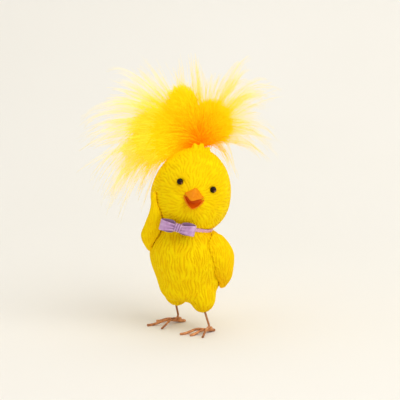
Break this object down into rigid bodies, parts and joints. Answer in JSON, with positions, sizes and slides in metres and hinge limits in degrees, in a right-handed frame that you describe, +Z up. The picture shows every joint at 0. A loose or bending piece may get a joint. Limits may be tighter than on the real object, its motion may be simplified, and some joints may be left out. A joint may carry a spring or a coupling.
{
  "type": "standing chick ornament",
  "caption": "Hand-painted resin chick that stands on bent copper wire legs, with a ribbon bow and a fluffy feather topknot.",
  "frame": {"origin": "on the ground, midway between the two ankles", "axes": "+Z up, -Y the way the chest faces, +X the chick's own left"},
  "size_m": [0.0656, 0.0502, 0.118],
  "materials": {
    "yellow_resin": "hand-painted cast resin, golden yellow with an orange wash in the combed feather grooves, satin to matte",
    "beak_paint": "orange paint on resin, dark orange-red inside the mouth, satin",
    "eye_bead": "black-brown bead, glossy",
    "copper_wire": "bare copper wire, darkened with handling",
    "solder_joint": "solder lump painted copper brown",
    "lilac_ribbon": "lilac craft ribbon, soft satin",
    "tuft_glue": "dyed glue plug that holds the feather shafts",
    "marabou": "dyed marabou down, orange at the root, golden yellow in the body, pale at the wispy ends"
  },
  "bodies": {
    "figure": {"torso_casting": "yellow_resin", "head_casting": "yellow_resin", "raised_wing": "yellow_resin", "folded_wing": "yellow_resin", "upper_beak": "beak_paint", "lower_beak": "beak_paint", "left_eye": "eye_bead", "right_eye": "eye_bead", "left_leg_wire": "copper_wire", "right_leg_wire": "copper_wire", "left_foot_wire": "copper_wire", "right_foot_wire": "copper_wire", "left_ankle_solder": "solder_joint", "right_ankle_solder": "solder_joint", "tuft_binding": "tuft_glue"},
    "collar": {"neck_ribbon": "lilac_ribbon", "bow_loops": "lilac_ribbon", "bow_knot": "lilac_ribbon"},
    "tuft": {"quill_bundle": "tuft_glue", "left_plume": "marabou", "lower_left_plume": "marabou", "upper_left_plume": "marabou", "top_plume": "marabou", "upper_right_plume": "marabou", "right_plume": "marabou", "back_plume": "marabou"}
  },
  "joints": [
    {"name": "collar_turn", "type": "hinge", "parent": "figure", "child": "collar", "pos_m": [-0.00372, -0.00254, 0.04536], "axis": [0.2321, 0.0938, 0.9681], "range_deg": [0, 25]},
    {"name": "tuft_sway", "type": "hinge", "parent": "figure", "child": "tuft", "pos_m": [0.00116, 0.00481, 0.07677], "axis": [-0.3746, 0.9272, 0], "range_deg": [-8, 8], "stiffness_Nm_per_rad": 0.05}
  ]
}
